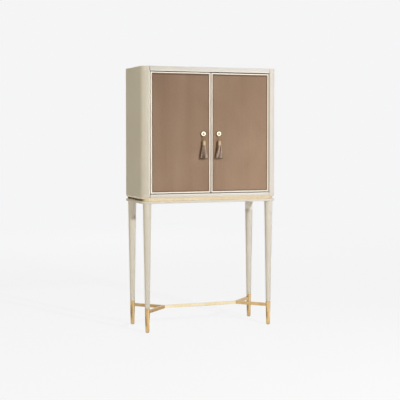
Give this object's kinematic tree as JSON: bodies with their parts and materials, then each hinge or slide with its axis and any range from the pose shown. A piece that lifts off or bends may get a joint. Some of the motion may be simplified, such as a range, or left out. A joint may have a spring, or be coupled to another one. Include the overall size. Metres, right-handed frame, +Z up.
{
  "type": "bar cabinet",
  "caption": "Tall bar cabinet on round legs with a stretcher: two inset doors with tassel pulls, and a shelf that folds out from the inside of the right door.",
  "frame": {"origin": "on the floor, at the centre of the outline that the case and the tassels in front of it make together", "axes": "+X to the right seen from the front, +Y to the back, +Z up"},
  "size_m": [0.85, 0.383, 1.55],
  "materials": {
    "cream_lacquer": "satin lacquer over wood",
    "frame_lacquer": "satin lacquer, a shade warmer than the case",
    "door_veneer": "brown veneer with a faint upright grain, satin",
    "inside_veneer": "brown veneer, satin",
    "back_board": "painted board",
    "plinth_wood": "plain board",
    "brass": "polished pale brass",
    "steel": "zinc plated",
    "mirror_glass": "silvered glass",
    "clear_glass": "clear float glass",
    "tassel_yarn": "taupe rayon yarn",
    "catch_plastic": "brown moulded plastic",
    "glide_felt": "pressed felt"
  },
  "bodies": {
    "case": {"side_left": "cream_lacquer", "side_right": "cream_lacquer", "top_panel": "cream_lacquer", "bottom_panel": "inside_veneer", "top_rail": "cream_lacquer", "bottom_rail": "cream_lacquer", "back_panel": "back_board", "back_screws": "steel", "mid_shelf": "inside_veneer", "lower_partition": "inside_veneer", "mirror_panel": "mirror_glass", "glass_shelf": "clear_glass", "shelf_pins": "brass", "pivot_plates": "brass", "pivot_pins": "steel", "door_catches": "catch_plastic", "base_plate": "cream_lacquer", "brass_band": "brass", "plinth_core": "plinth_wood", "leg_bolts": "steel", "foot_glides": "glide_felt", "stretcher_bar": "brass", "stretcher_studs": "steel", "leg_front_left": "cream_lacquer", "leg_front_right": "cream_lacquer", "leg_back_left": "cream_lacquer", "leg_back_right": "cream_lacquer", "sabot_front_left": "brass", "sabot_front_right": "brass", "sabot_back_left": "brass", "sabot_back_right": "brass", "stretcher_arm_front_left": "brass", "stretcher_arm_front_right": "brass", "stretcher_arm_back_left": "brass", "stretcher_arm_back_right": "brass"},
    "fold_shelf": {"fold_shelf_board": "inside_veneer", "shelf_finger_ring": "brass", "shelf_hinge_board_leaves": "brass"},
    "door_left": {"door_frame_left": "frame_lacquer", "door_panel_left": "door_veneer", "pivot_bushes_left": "brass", "catch_strike_left": "steel", "pull_knob_left": "brass", "pull_screw_left": "steel"},
    "link_left": {"pull_link_left": "brass"},
    "tassel_left": {"tassel_cap_left": "brass", "tassel_skirt_left": "tassel_yarn"},
    "door_right": {"door_frame_right": "frame_lacquer", "door_panel_right": "door_veneer", "pivot_bushes_right": "brass", "catch_strike_right": "steel", "pull_knob_right": "brass", "pull_screw_right": "steel", "shelf_hinge_door_leaves": "brass", "shelf_hinge_pins": "brass", "shelf_catch": "steel"},
    "link_right": {"pull_link_right": "brass"},
    "tassel_right": {"tassel_cap_right": "brass", "tassel_skirt_right": "tassel_yarn"}
  },
  "joints": [
    {"name": "door_left_hinge", "type": "hinge", "parent": "case", "child": "door_left", "pos_m": [-0.362, -0.1575, 1.163], "axis": [0, 0, -1], "range_deg": [0, 110]},
    {"name": "door_right_hinge", "type": "hinge", "parent": "case", "child": "door_right", "pos_m": [0.362, -0.1575, 1.163], "axis": [0, 0, 1], "range_deg": [0, 110]},
    {"name": "fold_shelf_hinge", "type": "hinge", "parent": "door_right", "child": "fold_shelf", "pos_m": [0.214, -0.1395, 1.169], "axis": [-1, 0, 0], "range_deg": [0, 90]},
    {"name": "pull_left_sideways", "type": "hinge", "parent": "door_left", "child": "link_left", "pos_m": [-0.0485, -0.179, 1.1585], "axis": [0, 1, 0], "range_deg": [-8, 60]},
    {"name": "tassel_left_outwards", "type": "hinge", "parent": "link_left", "child": "tassel_left", "pos_m": [-0.0485, -0.179, 1.1212], "axis": [-1, 0, 0], "range_deg": [-1, 80]},
    {"name": "pull_right_sideways", "type": "hinge", "parent": "door_right", "child": "link_right", "pos_m": [0.0485, -0.179, 1.1585], "axis": [0, -1, 0], "range_deg": [-8, 60]},
    {"name": "tassel_right_outwards", "type": "hinge", "parent": "link_right", "child": "tassel_right", "pos_m": [0.0485, -0.179, 1.1212], "axis": [-1, 0, 0], "range_deg": [-1, 80]}
  ]
}
